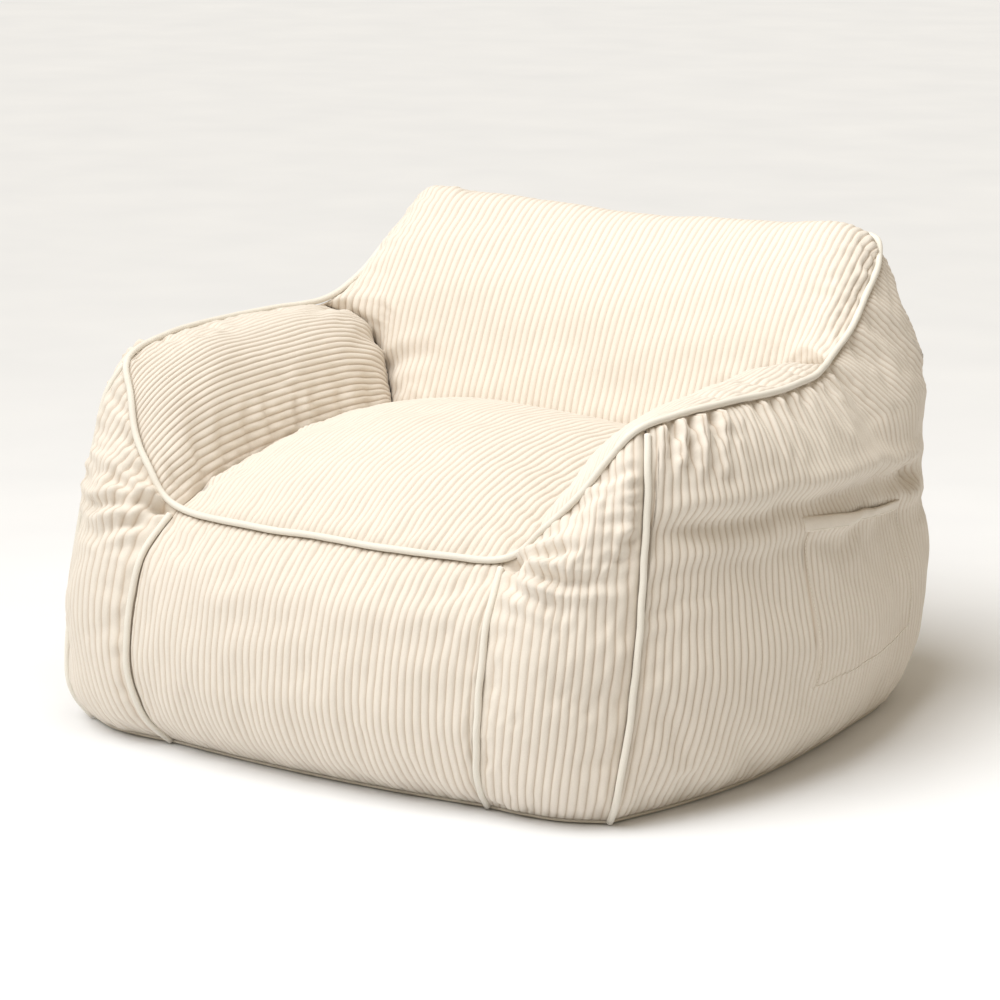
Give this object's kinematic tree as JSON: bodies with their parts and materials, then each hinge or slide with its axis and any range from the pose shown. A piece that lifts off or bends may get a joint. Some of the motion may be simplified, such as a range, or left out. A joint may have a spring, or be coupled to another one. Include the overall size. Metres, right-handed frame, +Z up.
{
  "type": "bean bag chair",
  "caption": "Low square bean bag armchair with a domed seat, bolster arms, a raised back, piped seams, side pockets and a zip in the back.",
  "frame": {"origin": "centre of the bounding box's floor rectangle, on the floor", "axes": "+Z up, -Y the way the sitter faces, +X the sitter's left"},
  "size_m": [1.0418, 0.905, 0.6183],
  "materials": {
    "corduroy": "wide-wale corduroy, matt",
    "piping": "smooth woven, matt",
    "base_cloth": "plain woven, matt",
    "zip_tape": "woven tape, matt",
    "zip_teeth": "moulded, satin",
    "zip_metal": "satin",
    "liner": "non-woven, matt",
    "filling": "loose crumb in a bag, matt"
  },
  "bodies": {
    "chair": {"front_panel": "corduroy", "front_corner_panel_left": "corduroy", "front_corner_panel_right": "corduroy", "side_panel_left": "corduroy", "side_panel_right": "corduroy", "back_panel_upper": "corduroy", "back_panel_lower": "corduroy", "seat_panel": "corduroy", "backrest_panel": "corduroy", "arm_panel_left": "corduroy", "arm_panel_right": "corduroy", "base_panel": "base_cloth", "rim_piping": "piping", "front_piping_left": "piping", "front_piping_right": "piping", "corner_piping_left": "piping", "corner_piping_right": "piping", "pocket_left": "corduroy", "pocket_right": "corduroy", "pocket_hem_left": "corduroy", "pocket_hem_right": "corduroy", "zip_tape_upper": "zip_tape", "zip_tape_lower": "zip_tape", "zip_teeth_upper": "zip_teeth", "zip_teeth_lower": "zip_teeth", "zip_stop_left": "zip_metal", "zip_stop_right": "zip_metal", "liner_base": "liner", "liner_back": "liner", "liner_arm_left": "liner", "liner_arm_right": "liner", "filling_base": "filling", "filling_back": "filling", "filling_arm_left": "filling", "filling_arm_right": "filling"},
    "slider": {"zip_slider": "zip_metal"},
    "pull": {"zip_pull": "zip_metal"}
  },
  "joints": [
    {"name": "zip_slide", "type": "slide", "parent": "chair", "child": "slider", "axis": [-1, 0, 0], "range_m": [0, 0.53]},
    {"name": "pull_swing", "type": "hinge", "parent": "slider", "child": "pull", "pos_m": [0.266, 0.4301, 0.092], "axis": [0, 0, -1], "range_deg": [0, 170]}
  ]
}
